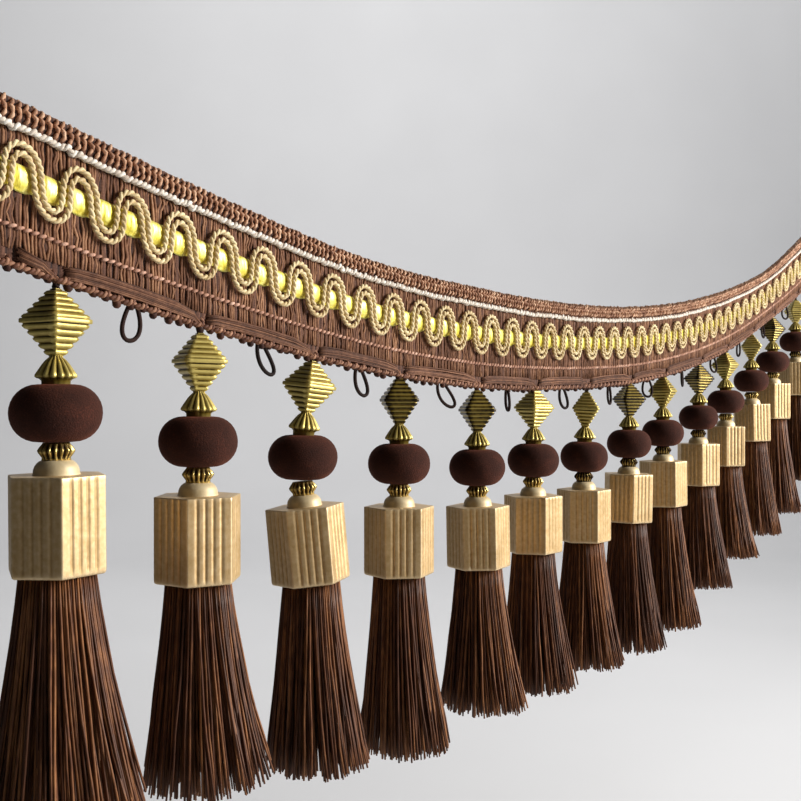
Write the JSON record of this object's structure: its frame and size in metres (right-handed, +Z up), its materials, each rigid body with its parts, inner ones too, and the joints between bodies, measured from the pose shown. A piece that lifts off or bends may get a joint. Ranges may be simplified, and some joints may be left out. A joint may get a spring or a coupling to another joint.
{
  "type": "tassel fringe trim",
  "caption": "Length of woven brown gimp tape hung in a swag, with a gold scroll and bead-and-cap tassels along its lower edge.",
  "frame": {"origin": "the tape's top edge at its left end, seen from the front, where the trim is held", "axes": "+X along the trim to the right, -Y out of the front face, +Z up"},
  "size_m": [0.4874, 0.0255, 0.185],
  "materials": {
    "brown_weave": "ribbed woven gimp, matte with a soft yarn sheen",
    "cream_cord": "twisted cord, matte",
    "gold_gimp": "twisted gimp cords, slight sheen",
    "brown_yarn": "twisted yarn, matte",
    "olive_gold": "plated olive gold, satin",
    "flocked_brown": "flocked, velvety",
    "matte_gold": "matte gold coating",
    "dark_skirt": "cut yarn, slight sheen"
  },
  "bodies": {
    "root": {"gimp_tape": "brown_weave", "cream_cord": "cream_cord", "scroll_gimp": "gold_gimp", "picot_edging": "brown_yarn", "bead_gold_01": "olive_gold", "bead_brown_01": "flocked_brown", "cap_gold_01": "matte_gold", "skirt_01": "dark_skirt", "bead_gold_02": "olive_gold", "bead_brown_02": "flocked_brown", "cap_gold_02": "matte_gold", "skirt_02": "dark_skirt", "bead_gold_03": "olive_gold", "bead_brown_03": "flocked_brown", "cap_gold_03": "matte_gold", "skirt_03": "dark_skirt", "bead_gold_04": "olive_gold", "bead_brown_04": "flocked_brown", "cap_gold_04": "matte_gold", "skirt_04": "dark_skirt", "bead_gold_05": "olive_gold", "bead_brown_05": "flocked_brown", "cap_gold_05": "matte_gold", "skirt_05": "dark_skirt", "bead_gold_06": "olive_gold", "bead_brown_06": "flocked_brown", "cap_gold_06": "matte_gold", "skirt_06": "dark_skirt", "bead_gold_07": "olive_gold", "bead_brown_07": "flocked_brown", "cap_gold_07": "matte_gold", "skirt_07": "dark_skirt", "bead_gold_08": "olive_gold", "bead_brown_08": "flocked_brown", "cap_gold_08": "matte_gold", "skirt_08": "dark_skirt", "bead_gold_09": "olive_gold", "bead_brown_09": "flocked_brown", "cap_gold_09": "matte_gold", "skirt_09": "dark_skirt", "bead_gold_10": "olive_gold", "bead_brown_10": "flocked_brown", "cap_gold_10": "matte_gold", "skirt_10": "dark_skirt", "bead_gold_11": "olive_gold", "bead_brown_11": "flocked_brown", "cap_gold_11": "matte_gold", "skirt_11": "dark_skirt", "bead_gold_12": "olive_gold", "bead_brown_12": "flocked_brown", "cap_gold_12": "matte_gold", "skirt_12": "dark_skirt", "bead_gold_13": "olive_gold", "bead_brown_13": "flocked_brown", "cap_gold_13": "matte_gold", "skirt_13": "dark_skirt", "bead_gold_14": "olive_gold", "bead_brown_14": "flocked_brown", "cap_gold_14": "matte_gold", "skirt_14": "dark_skirt"}
  },
  "joints": []
}
